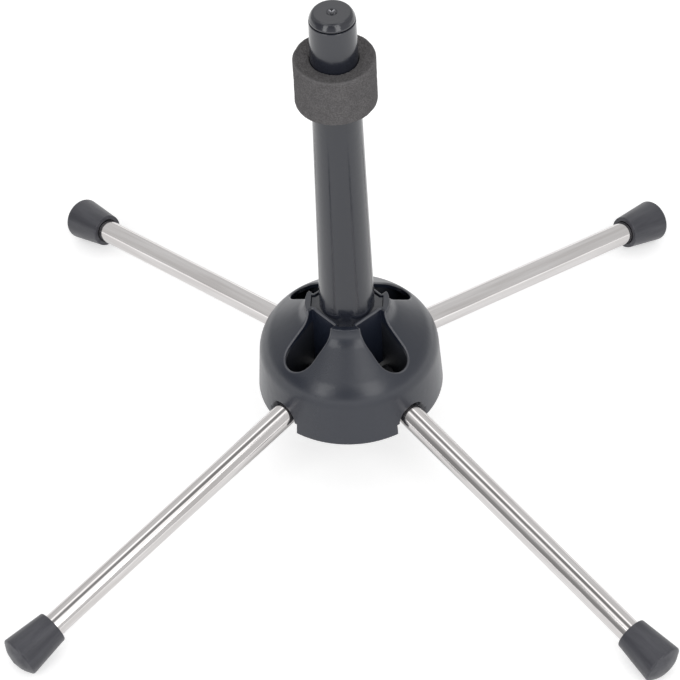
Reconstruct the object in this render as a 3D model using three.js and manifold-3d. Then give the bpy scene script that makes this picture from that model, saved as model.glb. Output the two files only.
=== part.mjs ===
// Clarinet stand: a moulded hub on four folding steel legs, and a tapered mast with a foam ring.
// Millimetres, +Z up, origin on the floor under the mast. The legs stand at 45 degrees to X and Y.

import * as THREE from "three";
import { mergeVertices } from "three/addons/utils/BufferGeometryUtils.js";
import Module from "manifold-3d";

const wasm = await Module();
wasm.setup();

// Fits and cuts
const CLEARANCE = 0.3;
const PIN_CLEARANCE = 0.15;
const OVERRUN = 6;

// Leg tubes
const TUBE_DIAMETER = 8;
const TUBE_WALL = 0.7;
const TUBE_LENGTH = 119.5;
const LEG_SLOPE_DEGREES = 13.5;
const LEG_PLACES = ["front_left", "front_right", "back_right", "back_left"];
const FIRST_LEG_DEGREES = 225;
const LEG_STEP_DEGREES = 90;

// Leg hinge ends and pins
const PIVOT_REACH = 14;
const HINGE_SHANK_LENGTH = 12.5;
const SPIGOT_LENGTH = 14;
const PIN_DIAMETER = 3;
const PIN_HEAD_DIAMETER = 5.2;
const PIN_HEAD_THICKNESS = 1;

// Rubber feet
const FOOT_MOUTH_DIAMETER = 10.8;
const FOOT_WIDEST_DIAMETER = 13.6;
const FOOT_LENGTH = 18.2;
const FOOT_END_THICKNESS = 5.1;
const FOOT_EDGE_RADIUS = 1.9;
const FOOT_DOME_HEIGHT = 0.6;
const FOOT_MOUTH_CHAMFER = 0.4;
const FOOT_FLAT_DEPTH = 0.4;

// Hub shell, from its collar down to its rim
const HUB_HEIGHT = 36.1;
const NECK_DIAMETER = 27.6;
const COLLAR_HEIGHT = 0.6;
const NECK_FLARE_RADIUS = 7;
const CROWN_SLOPE_DEGREES = 36.5;
const SHOULDER_RADIUS = 11;
const SIDE_DRAFT_DEGREES = 3.55;
const RIM_DIAMETER = 61.4;
const SHELL_WALL = 1.8;
const PIVOT_ABOVE_RIM = 7.7;

// Socket: four thin flat walls towards the legs, and a keyway in each corner, towards X and Y
const SOCKET_FACE_SPACING = 18.9;
const SOCKET_FACE_WALL = 0.9;
const KEYWAY_SPACING = 23.7;
const KEYWAY_WIDTH = 5.3;
const KEYWAY_SIDE_WALL = 0.75;
const KEYWAY_END_WALL = 1.6;
const SOCKET_ABOVE_PIVOT = 3.9;
const SOCKET_FLOOR = 2;

// Openings through the crown, one over each leg
const OPENING_WIDTH = 11;
const OPENING_INSIDE_RIM = 4.5;

// Notches in the rim
const NOTCH_ARCH_RADIUS = 5.4;
const NOTCH_ARCH_LIFT = 0.3;
const NOTCH_MOUTH_WIDTH = 12.6;
const NOTCH_DEPTH = 1;

// Webs on both sides of each leg's slot, which carry its pin, and the bridge over the leg that stops it
const WEB_THICKNESS = 1.8;
const LUG_RADIUS = 4.2;
const BRIDGE_INSIDE_RIM = 5.7;
const BRIDGE_ABOVE_PIVOT = 6.5;

// Mast
const MAST_LENGTH = 119.8;
const MAST_BOTTOM_DIAMETER = 18.1;
const MAST_TOP_DIAMETER = 14.3;
const MAST_WALL = 1.5;
const MAST_FOOT_BELOW_COLLAR = 0.5;
const MAST_SPIGOT_LENGTH = 12;
const MAST_SPIGOT_WALL = 1.6;

// Cap
const CAP_LIP = 0.25;
const CAP_HEIGHT = 2.7;
const CAP_EDGE_HEIGHT = 0.6;
const CAP_FLAT_DIAMETER = 9.7;
const CAP_STEM_LENGTH = 8;
const CAP_STEM_WALL = 1.2;

// Foam ring
const FOAM_DIAMETER = 26.2;
const FOAM_HEIGHT = 17;
const FOAM_EDGE_RADIUS = 2;
const FOAM_BELOW_MAST_TOP = 15.2;

// Facets round a circle
const HUB_FACETS = 64;
const ROUND_FACETS = 32;
const PIN_FACETS = 18;
const ARC_STEPS = 7;
const EDGE_STEPS = 4;

// Sizes that follow from the ones above
const tubeRadius = TUBE_DIAMETER / 2;
const tubeBoreRadius = tubeRadius - TUBE_WALL;
const tubeStart = HINGE_SHANK_LENGTH + CLEARANCE;
const tubeEnd = tubeStart + TUBE_LENGTH;
const footTip = tubeEnd + CLEARANCE + FOOT_END_THICKNESS;
const footMouth = footTip - FOOT_LENGTH;
const footTaperLength = FOOT_LENGTH - FOOT_EDGE_RADIUS - FOOT_DOME_HEIGHT;
const legAzimuths = LEG_PLACES.map((_, index) => FIRST_LEG_DEGREES + index * LEG_STEP_DEGREES);
const legSlope = THREE.MathUtils.degToRad(LEG_SLOPE_DEGREES);
const footDrop = (footMouth + footTaperLength) * Math.sin(legSlope);
const footBelowAxis = (FOOT_WIDEST_DIAMETER / 2) * Math.cos(legSlope);
const pivotHeight = footDrop + footBelowAxis - FOOT_FLAT_DEPTH;
const rimHeight = pivotHeight - PIVOT_ABOVE_RIM;

const crownSlope = THREE.MathUtils.degToRad(CROWN_SLOPE_DEGREES);
const crownNormal = Math.PI / 2 - crownSlope;
const sideDraft = THREE.MathUtils.degToRad(SIDE_DRAFT_DEGREES);
const rimRadius = RIM_DIAMETER / 2;
const neckRadius = NECK_DIAMETER / 2;
const flareFootRadius = neckRadius + NECK_FLARE_RADIUS * (1 - Math.cos(crownNormal));
const flareCentreHeight = HUB_HEIGHT - COLLAR_HEIGHT;
const flareFootHeight = flareCentreHeight - NECK_FLARE_RADIUS * Math.sin(crownNormal);
const crownFall = (flareFootRadius - rimRadius) * Math.tan(crownSlope) + flareFootHeight;
const cornerHeight = crownFall / (1 - Math.tan(crownSlope) * Math.tan(sideDraft));
const shoulderReach = SHOULDER_RADIUS * Math.tan((crownNormal - sideDraft) / 2);
const sideHeight = cornerHeight - shoulderReach * Math.cos(sideDraft);

const socketFace = SOCKET_FACE_SPACING / 2;
const keywayReach = KEYWAY_SPACING / 2;
const keywayHalf = KEYWAY_WIDTH / 2;
const collarRadius = keywayReach + KEYWAY_END_WALL;
const socketFloorTop = PIVOT_ABOVE_RIM + SOCKET_ABOVE_PIVOT + SOCKET_FLOOR;
const legGap = tubeRadius + CLEARANCE;
const slotGap = OPENING_WIDTH / 2;
const eyeWidth = 2 * (slotGap - CLEARANCE);
const openingReach = rimRadius - OPENING_INSIDE_RIM;
const webReach = rimRadius - SHELL_WALL;
const bridgeStart = rimRadius - BRIDGE_INSIDE_RIM;
const webOuter = slotGap + WEB_THICKNESS;

const mastFootBottom = rimHeight + socketFloorTop + CLEARANCE;
const mastFootHeight = HUB_HEIGHT - MAST_FOOT_BELOW_COLLAR - socketFloorTop - CLEARANCE;
const mastBottom = mastFootBottom + mastFootHeight + CLEARANCE;
const mastTop = mastBottom + MAST_LENGTH;
const mastBottomRadius = MAST_BOTTOM_DIAMETER / 2;
const mastTopRadius = MAST_TOP_DIAMETER / 2;
const foamTop = mastTop - FOAM_BELOW_MAST_TOP;
const foamBottom = foamTop - FOAM_HEIGHT;

// Outer radius of the mast at a height above the floor
function mastRadiusAt(height) {
  return THREE.MathUtils.mapLinear(height, mastBottom, mastTop, mastBottomRadius, mastTopRadius);
}

// Materials
const blackPlastic = new THREE.MeshStandardMaterial({ color: 0x2b2c30, roughness: 0.38 });
const polishedSteel = new THREE.MeshStandardMaterial({ color: 0xd9d8d6, roughness: 0.12, metalness: 1 });
const pinSteel = new THREE.MeshStandardMaterial({ color: 0xb4b5b8, roughness: 0.35, metalness: 1 });
const footRubber = new THREE.MeshStandardMaterial({ color: 0x3a3b40, roughness: 0.75 });
const greyFoam = new THREE.MeshStandardMaterial({ color: 0x55534f, roughness: 0.95 });

// A closed geometry as a solid for joining and cutting
function solidOf(geometry) {
  const bare = geometry.clone();
  bare.deleteAttribute("normal");
  bare.deleteAttribute("uv");
  const merged = mergeVertices(bare);
  return new wasm.Manifold(new wasm.Mesh({
    numProp: 3,
    vertProperties: new Float32Array(merged.attributes.position.array),
    triVerts: new Uint32Array(merged.index.array),
  }));
}

// A solid back as a geometry
function geometryOf(solid) {
  const mesh = solid.getMesh();
  const geometry = new THREE.BufferGeometry();
  geometry.setAttribute("position", new THREE.BufferAttribute(mesh.vertProperties, 3));
  geometry.setIndex(new THREE.BufferAttribute(mesh.triVerts, 1));
  geometry.computeVertexNormals();
  return geometry;
}

// Points of an arc from one angle to another, both ends included
function arc(centreX, centreY, radius, startAngle, endAngle, steps = ARC_STEPS) {
  return Array.from({ length: steps + 1 }, (_, step) => {
    const angle = THREE.MathUtils.lerp(startAngle, endAngle, step / steps);
    return new THREE.Vector2(centreX + radius * Math.cos(angle), centreY + radius * Math.sin(angle));
  });
}

const point = (x, y) => new THREE.Vector2(x, y);

// A profile of radius and height, turned about Z
function turned(profile, facets) {
  return new THREE.LatheGeometry(profile, facets).rotateX(Math.PI / 2);
}

// A round rod along Z
function rod(radius, bottom, top) {
  return turned([point(0, bottom), point(radius, bottom), point(radius, top), point(0, top)], ROUND_FACETS);
}

// A ring whose profile closes on itself
function turnedRing(profile, facets) {
  return turned([...profile, profile[0].clone()], facets);
}

// An outline in X and Y, raised along Z
function raised(outline, bottom, top) {
  const shape = new THREE.Shape(outline);
  const geometry = new THREE.ExtrudeGeometry(shape, { depth: top - bottom, bevelEnabled: false });
  return geometry.translate(0, 0, bottom);
}

// An outline of reach and height, as thick as twice the half width, square to Y
function upright(outline, halfWidth) {
  return raised(outline, -halfWidth, halfWidth).rotateX(Math.PI / 2);
}

// An outline of sideways place and height, carried along X
function along(outline, start, end) {
  return raised(outline, start, end).rotateZ(Math.PI / 2).rotateY(Math.PI / 2);
}

function box(size, centre) {
  return new THREE.BoxGeometry(...size).translate(...centre);
}

// A prism with a flat face towards each leg and a key along X and Y between them
function keyedPrism(faceDistance, keyReach, keyHalf, bottom, top) {
  const notchReach = Math.SQRT2 * faceDistance - keyHalf;
  const corners = [
    point(keyReach, -keyHalf),
    point(keyReach, keyHalf),
    point(notchReach, keyHalf),
    point(keyHalf, notchReach),
  ];
  const quarterTurns = [0, 1, 2, 3].map((turn) => (turn * Math.PI) / 2);
  const centre = point(0, 0);
  const cornersAt = (angle) => corners.map((corner) => corner.clone().rotateAround(centre, angle));
  const outline = quarterTurns.flatMap(cornersAt);
  return solidOf(raised(outline, bottom, top));
}

// Half outline of the hub's shell, from the rim up to the crown, set inwards by a wall
function shellOutline(inset) {
  const sideTop = rimRadius - sideHeight * Math.tan(sideDraft);
  const centreX = sideTop - SHOULDER_RADIUS * Math.cos(sideDraft);
  const centreY = sideHeight - SHOULDER_RADIUS * Math.sin(sideDraft);
  const shoulder = arc(centreX, centreY, SHOULDER_RADIUS - inset, sideDraft, crownNormal);
  return { rim: point(rimRadius - inset, 0), shoulder };
}

// The dome with its neck flare and collar, solid inside
function domeSolid() {
  const { rim, shoulder } = shellOutline(0);
  const flareCentreX = neckRadius + NECK_FLARE_RADIUS;
  const flare = arc(flareCentreX, flareCentreHeight, NECK_FLARE_RADIUS, Math.PI + crownNormal, Math.PI);
  const collar = [point(neckRadius, HUB_HEIGHT), point(0, HUB_HEIGHT)];
  const profile = [point(0, 0), rim, ...shoulder, ...flare, ...collar];
  return solidOf(turned(profile, HUB_FACETS));
}

// The hollow under the dome, up to the underside of the collar
function hollowSolid() {
  const { rim, shoulder } = shellOutline(SHELL_WALL);
  const crownStart = shoulder[shoulder.length - 1];
  const roof = crownStart.y + (crownStart.x - collarRadius) * Math.tan(crownSlope);
  const mouth = [point(0, -OVERRUN), point(rim.x, -OVERRUN), rim];
  const profile = [...mouth, ...shoulder, point(collarRadius, roof), point(0, roof)];
  return solidOf(turned(profile, HUB_FACETS));
}

// One opening through the crown: straight sides from the socket wall out to a round end
function openingSolid() {
  const start = socketFace + SOCKET_FACE_WALL / 2;
  const roundEnd = arc(openingReach - slotGap, 0, slotGap, -Math.PI / 2, Math.PI / 2);
  const outline = [point(start, -slotGap), ...roundEnd, point(start, slotGap)];
  return solidOf(raised(outline, sideHeight, HUB_HEIGHT + OVERRUN));
}

// Two webs for one leg up to the crown, with the bridge over it, in the frame of a leg that points along +X
function legBracketSolid() {
  const inner = PIVOT_REACH - LUG_RADIUS;
  const lug = arc(PIVOT_REACH, PIVOT_ABOVE_RIM, LUG_RADIUS, Math.PI, 1.5 * Math.PI);
  const webFoot = PIVOT_ABOVE_RIM - LUG_RADIUS;
  const outline = [...lug, point(webReach, webFoot), point(webReach, HUB_HEIGHT), point(inner, HUB_HEIGHT)];
  const block = solidOf(upright(outline, webOuter));

  const gapHeight = 2 * (HUB_HEIGHT + OVERRUN);
  const gap = solidOf(box([2 * rimRadius, 2 * slotGap, gapHeight], [rimRadius, 0, 0]));
  const bridgeHeight = PIVOT_ABOVE_RIM + BRIDGE_ABOVE_PIVOT - webFoot;
  const bridgeLength = webReach - bridgeStart;
  const bridgeCentre = [bridgeStart + bridgeLength / 2, 0, webFoot + bridgeHeight / 2];
  const bridge = solidOf(box([bridgeLength, 2 * webOuter, bridgeHeight], bridgeCentre));

  const channelArch = arc(0, 0, legGap, 0, Math.PI);
  const channelOutline = [point(-legGap, -rimRadius), point(legGap, -rimRadius), ...channelArch];
  const channel = along(channelOutline, 0, 2 * rimRadius)
    .rotateY(legSlope)
    .translate(PIVOT_REACH, 0, PIVOT_ABOVE_RIM);

  const holeRadius = PIN_DIAMETER / 2 + PIN_CLEARANCE;
  const holeLength = 2 * (webOuter + OVERRUN);
  const hole = new THREE.CylinderGeometry(holeRadius, holeRadius, holeLength, PIN_FACETS)
    .translate(PIVOT_REACH, 0, PIVOT_ABOVE_RIM);
  return block.subtract(gap).add(bridge).subtract(solidOf(channel)).subtract(solidOf(hole));
}

// One notch in the rim: an arch over the leg with a wider mouth below it
function notchSolid() {
  const archHeight = PIVOT_ABOVE_RIM - (rimRadius - PIVOT_REACH) * Math.tan(legSlope) + NOTCH_ARCH_LIFT;
  const halfMouth = NOTCH_MOUTH_WIDTH / 2;
  const outline = [
    point(-halfMouth, -OVERRUN),
    point(halfMouth, -OVERRUN),
    point(halfMouth, archHeight),
    ...arc(0, archHeight, NOTCH_ARCH_RADIUS, 0, Math.PI),
    point(-halfMouth, archHeight),
  ];
  return solidOf(along(outline, webReach - NOTCH_DEPTH, rimRadius + OVERRUN));
}

// The hub, with its rim at height zero
function hubGeometry() {
  const atEachLeg = (solid) => legAzimuths.map((azimuth) => solid.rotate([0, 0, azimuth]));
  const wallFace = socketFace + SOCKET_FACE_WALL;
  const wallKeyHalf = keywayHalf + KEYWAY_SIDE_WALL;
  const socketBottom = socketFloorTop - SOCKET_FLOOR;
  const socketWall = keyedPrism(wallFace, collarRadius, wallKeyHalf, socketBottom, HUB_HEIGHT);
  const socketTop = HUB_HEIGHT + OVERRUN;
  const socketHole = keyedPrism(socketFace, keywayReach, keywayHalf, socketFloorTop, socketTop);

  const dome = domeSolid();
  let hub = dome.subtract(hollowSolid());
  for (const bracket of atEachLeg(legBracketSolid())) hub = hub.add(bracket.intersect(dome));
  for (const opening of atEachLeg(openingSolid())) hub = hub.subtract(opening);
  hub = hub.add(socketWall);
  for (const notch of atEachLeg(notchSolid())) hub = hub.subtract(notch);
  return geometryOf(hub.subtract(socketHole));
}

// Keyed plug with a round spigot, with its underside at height zero
function mastFootGeometry() {
  const face = socketFace - CLEARANCE;
  const plug = keyedPrism(face, keywayReach - CLEARANCE, keywayHalf - CLEARANCE, 0, mastFootHeight);
  const spigotTop = mastFootHeight + MAST_SPIGOT_LENGTH;
  const spigotRadius = mastRadiusAt(mastFootBottom + spigotTop) - MAST_WALL - CLEARANCE;
  const pipeRadius = spigotRadius - MAST_SPIGOT_WALL;
  const spigot = solidOf(rod(spigotRadius, 0, spigotTop));
  const bore = solidOf(rod(pipeRadius, -OVERRUN, spigotTop + OVERRUN));
  return geometryOf(plug.add(spigot).subtract(bore));
}

// Tapered tube, with its lower end at height zero
function mastTubeGeometry() {
  return turnedRing([
    point(mastBottomRadius - MAST_WALL, 0),
    point(mastBottomRadius, 0),
    point(mastTopRadius, MAST_LENGTH),
    point(mastTopRadius - MAST_WALL, MAST_LENGTH),
  ], ROUND_FACETS);
}

// Domed cap on a hollow stem, with the underside of its lip at height zero
function mastCapGeometry() {
  const lipRadius = mastTopRadius + CAP_LIP;
  const stemRadius = mastTopRadius - MAST_WALL - CLEARANCE;
  const stemBore = stemRadius - CAP_STEM_WALL;
  const flatRadius = CAP_FLAT_DIAMETER / 2;
  const edgeWidth = lipRadius - flatRadius;
  const edgeRise = CAP_HEIGHT - CAP_EDGE_HEIGHT;
  const rounding = arc(0, 0, 1, 0, Math.PI / 2, EDGE_STEPS)
    .map((unit) => point(flatRadius + edgeWidth * unit.x, CAP_EDGE_HEIGHT + edgeRise * unit.y));
  return turned([
    point(0, 0),
    point(stemBore, 0),
    point(stemBore, -CAP_STEM_LENGTH),
    point(stemRadius, -CAP_STEM_LENGTH),
    point(stemRadius, 0),
    point(lipRadius, 0),
    ...rounding,
    point(0, CAP_HEIGHT),
  ], ROUND_FACETS);
}

// Foam ring with soft edges, with its underside at height zero
function foamRingGeometry() {
  const outer = FOAM_DIAMETER / 2;
  const bore = mastRadiusAt(foamBottom) + CLEARANCE;
  const edge = FOAM_EDGE_RADIUS;
  const top = FOAM_HEIGHT;
  const quarter = Math.PI / 2;
  return turnedRing([
    ...arc(outer - edge, edge, edge, -quarter, 0, EDGE_STEPS),
    ...arc(outer - edge, top - edge, edge, 0, quarter, EDGE_STEPS),
    ...arc(bore + edge, top - edge, edge, quarter, 2 * quarter, EDGE_STEPS),
    ...arc(bore + edge, edge, edge, 2 * quarter, 3 * quarter, EDGE_STEPS),
  ], ROUND_FACETS);
}

// Pieces of a leg lie along +X from its pin
const alongLeg = (geometry) => geometry.rotateY(Math.PI / 2);

function legTubeGeometry() {
  return alongLeg(turnedRing([
    point(tubeBoreRadius, tubeStart),
    point(tubeRadius, tubeStart),
    point(tubeRadius, tubeEnd),
    point(tubeBoreRadius, tubeEnd),
  ], ROUND_FACETS));
}

// Eye, shank and spigot in the inner end of the tube
function hingeEndGeometry() {
  const spigotRadius = tubeBoreRadius - CLEARANCE;
  const spigotEnd = HINGE_SHANK_LENGTH + SPIGOT_LENGTH;
  const shank = solidOf(alongLeg(turned([
    point(0, 0),
    point(tubeRadius, 0),
    point(tubeRadius, HINGE_SHANK_LENGTH),
    point(spigotRadius, HINGE_SHANK_LENGTH),
    point(spigotRadius, spigotEnd),
    point(0, spigotEnd),
  ], ROUND_FACETS)));
  const eye = solidOf(new THREE.CylinderGeometry(tubeRadius, tubeRadius, eyeWidth, ROUND_FACETS));
  const holeRadius = PIN_DIAMETER / 2 + PIN_CLEARANCE;
  const holeLength = eyeWidth + OVERRUN;
  const hole = solidOf(new THREE.CylinderGeometry(holeRadius, holeRadius, holeLength, PIN_FACETS));
  return geometryOf(shank.add(eye).subtract(hole));
}

// Headed pin along Y, centred on the pivot
function pivotPinGeometry() {
  const pinRadius = PIN_DIAMETER / 2;
  const headRadius = PIN_HEAD_DIAMETER / 2;
  const headStart = webOuter + CLEARANCE;
  const headEnd = headStart + PIN_HEAD_THICKNESS;
  const profile = [
    point(0, -headEnd),
    point(headRadius, -headEnd),
    point(headRadius, -headStart),
    point(pinRadius, -headStart),
    point(pinRadius, headStart),
    point(headRadius, headStart),
    point(headRadius, headEnd),
    point(0, headEnd),
  ];
  return turned(profile, PIN_FACETS).rotateX(Math.PI / 2);
}

// Tapered ferrule with a blind bore and a domed end, cut flat where it stands on the floor
function rubberFootGeometry(legFrame) {
  const mouthRadius = FOOT_MOUTH_DIAMETER / 2;
  const widestRadius = FOOT_WIDEST_DIAMETER / 2;
  const boreRadius = tubeRadius + CLEARANCE;
  const boreEnd = footTip - FOOT_END_THICKNESS;
  const edgeHeight = footMouth + footTaperLength;
  const profile = [
    point(0, boreEnd),
    point(boreRadius, boreEnd),
    point(boreRadius, footMouth),
    point(mouthRadius - FOOT_MOUTH_CHAMFER, footMouth),
    point(mouthRadius, footMouth + FOOT_MOUTH_CHAMFER),
    ...arc(widestRadius - FOOT_EDGE_RADIUS, edgeHeight, FOOT_EDGE_RADIUS, 0, Math.PI / 2, EDGE_STEPS),
    point(0, footTip),
  ];
  const foot = solidOf(alongLeg(turned(profile, ROUND_FACETS)));
  const slabSize = 2 * footTip;
  const underFloor = box([slabSize, slabSize, slabSize], [footTip, 0, -slabSize / 2]);
  underFloor.applyMatrix4(legFrame.clone().invert());
  return geometryOf(foot.subtract(solidOf(underFloor)));
}

function named(name, geometry, material) {
  const mesh = new THREE.Mesh(geometry, material);
  mesh.name = name;
  return mesh;
}

function raisedMesh(name, geometry, material, height) {
  const mesh = named(name, geometry, material);
  mesh.position.z = height;
  return mesh;
}

// One leg with its pin, turned about the mast to its azimuth
function legGroup(place, azimuth, shapes) {
  const leg = new THREE.Group();
  leg.rotation.y = legSlope;
  leg.add(named(`leg_tube_${place}`, shapes.tube, polishedSteel));
  leg.add(named(`leg_hinge_end_${place}`, shapes.hingeEnd, blackPlastic));
  leg.add(named(`rubber_foot_${place}`, shapes.foot, footRubber));

  const pivot = new THREE.Group();
  pivot.position.set(PIVOT_REACH, 0, pivotHeight);
  pivot.add(leg, named(`pivot_pin_${place}`, shapes.pin, pinSteel));

  const turnedLeg = new THREE.Group();
  turnedLeg.rotation.z = THREE.MathUtils.degToRad(azimuth);
  turnedLeg.add(pivot);
  return turnedLeg;
}

const legFrame = new THREE.Matrix4()
  .makeTranslation(PIVOT_REACH, 0, pivotHeight)
  .multiply(new THREE.Matrix4().makeRotationY(legSlope));
const legShapes = {
  tube: legTubeGeometry(),
  hingeEnd: hingeEndGeometry(),
  foot: rubberFootGeometry(legFrame),
  pin: pivotPinGeometry(),
};

const group = new THREE.Group();
group.add(raisedMesh("hub", hubGeometry(), blackPlastic, rimHeight));
group.add(raisedMesh("mast_foot", mastFootGeometry(), blackPlastic, mastFootBottom));
group.add(raisedMesh("mast_tube", mastTubeGeometry(), blackPlastic, mastBottom));
group.add(raisedMesh("mast_cap", mastCapGeometry(), blackPlastic, mastTop + CLEARANCE));
group.add(raisedMesh("foam_ring", foamRingGeometry(), greyFoam, foamBottom));
LEG_PLACES.forEach((place, index) => group.add(legGroup(place, legAzimuths[index], legShapes)));

export default group;
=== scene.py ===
import math

import bmesh
import bpy
import numpy as np
from mathutils import Matrix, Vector
from mathutils.geometry import delaunay_2d_cdt


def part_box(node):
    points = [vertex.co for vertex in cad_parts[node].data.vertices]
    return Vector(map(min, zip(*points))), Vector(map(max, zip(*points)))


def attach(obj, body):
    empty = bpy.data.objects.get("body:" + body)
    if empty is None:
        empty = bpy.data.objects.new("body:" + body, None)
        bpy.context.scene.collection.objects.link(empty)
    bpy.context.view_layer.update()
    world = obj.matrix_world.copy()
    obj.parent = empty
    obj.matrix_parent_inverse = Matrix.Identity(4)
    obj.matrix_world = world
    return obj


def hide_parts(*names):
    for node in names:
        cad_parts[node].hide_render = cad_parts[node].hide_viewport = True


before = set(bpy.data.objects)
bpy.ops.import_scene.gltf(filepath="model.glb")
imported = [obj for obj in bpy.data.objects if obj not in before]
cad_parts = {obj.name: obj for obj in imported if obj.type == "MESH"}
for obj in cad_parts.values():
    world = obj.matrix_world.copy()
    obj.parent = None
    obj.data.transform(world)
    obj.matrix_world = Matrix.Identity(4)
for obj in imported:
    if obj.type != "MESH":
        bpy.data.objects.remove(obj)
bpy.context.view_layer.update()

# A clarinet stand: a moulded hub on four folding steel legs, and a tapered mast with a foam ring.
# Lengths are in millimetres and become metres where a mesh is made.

MM = 0.001
TAU = 2 * math.pi
RIGHT = math.pi / 2

# Camera
CAMERA_DISTANCE = 1134
CAMERA_TURN = math.radians(4.944)
CAMERA_RISE = math.radians(45.156)
CAMERA_ROLL = math.radians(3.176)
CAMERA_TARGET = (-2.970, -0.257, 48.15)
SENSOR_WIDTH = 36
LENS = 181.617

# Hub
RIM_RADIUS = 30.7
SHELL_WALL = 1.8
INNER_BEND_START = 27
SIDE_HEIGHT = 15.3
SIDE_DRAFT = math.atan(0.95 / SIDE_HEIGHT)
SIDE_TOP_RADIUS = RIM_RADIUS - SIDE_HEIGHT * math.tan(SIDE_DRAFT)
SHOULDER_RADIUS = 11
CROWN_SLOPE = math.radians(36.5)
NECK_RADIUS = 13.8
NECK_FLARE_RADIUS = 7
HUB_HEIGHT = 36.1
COLLAR_EDGE = 0.22
SOCKET_EDGE = 0.12
OPENING_EDGE = 0.55
RIM_EDGE = 0.15
LIP_HEIGHT = 0.12
# Share of painted highlight on the hub's rolled edges: a pale colour in place of their glint
EDGE_HIGHLIGHT = 0.7
SOCKET_FACE = 9.45
FACE_WALL = 0.9
KEYWAY_REACH = 11.85
KEYWAY_HALF = 2.65
KEYWAY_SIDE_WALL = 0.75
KEYWAY_END_WALL = 1.6
SOCKET_FLOOR_TOP = 13.6
SOCKET_FLOOR = 2
CUP_BELOW_COLLAR = 2
OPENING_HALF = 5.5
OPENING_REACH = 26.2
OPENING_START = SOCKET_FACE + FACE_WALL
OPENING_CORNER = 0.3
NOTCH_ARCH_HEIGHT = 3.99
NOTCH_ARCH_RADIUS = 5.4
NOTCH_MOUTH_HALF = 6.3
NOTCH_DEPTH = 1

# Spacing of the points over the hub's skin
PATTERN_START = 11
RING_STEP = 0.6
POINT_STEP = 0.8
EDGE_STEPS = 5
OUTLINE_STEPS = 8

# Webs, pins and legs
WEB_OUTER_FACE = 7.3
WEB_MIDDLE = 6.4
WEB_BOTTOM = 3.5
WEB_START = 7.1
WEB_TOP_START = 13.6
LUG_RADIUS = 4.2
BRIDGE_START = 25
BRIDGE_TOP = 14.2
LEG_GAP = 4.3
PIVOT_REACH = 14
PIVOT_ABOVE_RIM = 7.7
PIN_RADIUS = 1.5
PIN_HEAD_RADIUS = 2.6
PIN_HEAD = 1
PIN_PLAY = 0.3
PIN_HOLE_RADIUS = 1.65
LEG_SLOPE = math.radians(13.5)
LEG_TURNS = {"front_left": 225, "front_right": 315, "back_right": 45, "back_left": 135}
TUBE_RADIUS = 4
TUBE_WALL = 0.7
TUBE_START = 12.8
TUBE_END = 132.3
SPIGOT_RADIUS = 3
SPIGOT_END = 26.5
SHANK_END = 12.5
EYE_HALF = 5.2

# Rubber feet
FOOT_MOUTH = 120.0
FOOT_TIP = 137.4
FOOT_MOUTH_RADIUS = 5.6
FOOT_RADIUS = 7.2
FOOT_BORE_RADIUS = 4.12
FOOT_BORE_END = 132.6
FOOT_EDGE = 0.8
FOOT_DOME = 2.6
FOOT_DOME_HALF = 4.2
FOOT_DOME_BEND = 7

# Mast
MAST_WALL = 1.5
MAST_BOTTOM_RADIUS = 9.05
MAST_TOP_RADIUS = 7.3
POLE_TOP_DROP = 0.35
POLE_BOTTOM_DROP = 0.28
PLUG_BELOW_COLLAR = 0.5
PLUG_PLAY = 0.06
PLUG_EDGE = 0.3
MAST_SPIGOT_PLAY = 0.3
MAST_SPIGOT_WALL = 1.6
MAST_SPIGOT_EDGE = 0.4

# Cap. Each part of the gate mark is a turn, a height, a width, and the distances where it starts and ends.
CAP_GROOVE_RADIUS = 6.5
CAP_GROOVE = 0.5
CAP_FLAT_RADIUS = 5.95
CAP_RIM_RADIUS = 7.14
CAP_HEIGHT = 2.98
CAP_EDGE = 1.0
CAP_STEM_RADIUS = 5.35
CAP_STEM_BORE = 4.15
CAP_STEM = 8
GATE_DISH_RADIUS = 1.6
GATE_DISH = 0.16
GATE_BLUR = 0.07
GATE_MARK = [(math.radians(55), 0.38, 0.23, 0.25, 1.35), (math.radians(133), 0.38, 0.23, 0.25, 1.35),
             (math.radians(275), -0.70, 0.34, 0.20, 1.15), (math.radians(205), -0.60, 0.30, 0.45, 1.45),
             (math.radians(340), -0.60, 0.30, 0.45, 1.45), (math.radians(94), -0.60, 0.26, 0.75, 1.45)]

# Foam ring
FOAM_RADIUS = 12.9
FOAM_EDGE = 0.8
FOAM_RISE = 0.4
FOAM_DISH = 0.35
FOAM_BORE_TOP = 7.62
FOAM_BORE_BOTTOM = 7.86
FOAM_STEP = 0.4
FOAM_LUMP = 0.05
FOAM_HIGHLIGHT = 0.2

# Heights above the floor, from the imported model
HUB_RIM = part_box("hub")[0].z / MM
MAST_FOOT_BOTTOM, MAST_FOOT_TOP = (corner.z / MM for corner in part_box("mast_foot"))
MAST_BOTTOM, MAST_TOP = (corner.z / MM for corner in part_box("mast_tube"))
FOAM_BOTTOM, FOAM_TOP = (corner.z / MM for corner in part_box("foam_ring"))
PIVOT_HEIGHT = HUB_RIM + PIVOT_ABOVE_RIM


# Shader maths

class Value:
    """A shader socket that takes Python's arithmetic: each operator adds one Math node."""

    def __init__(self, finish, socket):
        self.finish, self.socket = finish, socket

    def math(self, operation, *others, swap=False):
        """A Math node on this value and the others, with their order turned round where they swap."""
        values = [self, *others][::-1] if swap else [self, *others]
        node = self.finish.node("ShaderNodeMath", {"operation": operation}, dict(enumerate(values)))
        return self.finish.out(node)

    def __add__(self, other):
        return self.math("ADD", other)

    def __sub__(self, other):
        return self.math("SUBTRACT", other)

    def __rsub__(self, other):
        return self.math("SUBTRACT", other, swap=True)

    def __mul__(self, other):
        return self.math("MULTIPLY", other)

    __radd__ = __add__
    __rmul__ = __mul__


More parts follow.
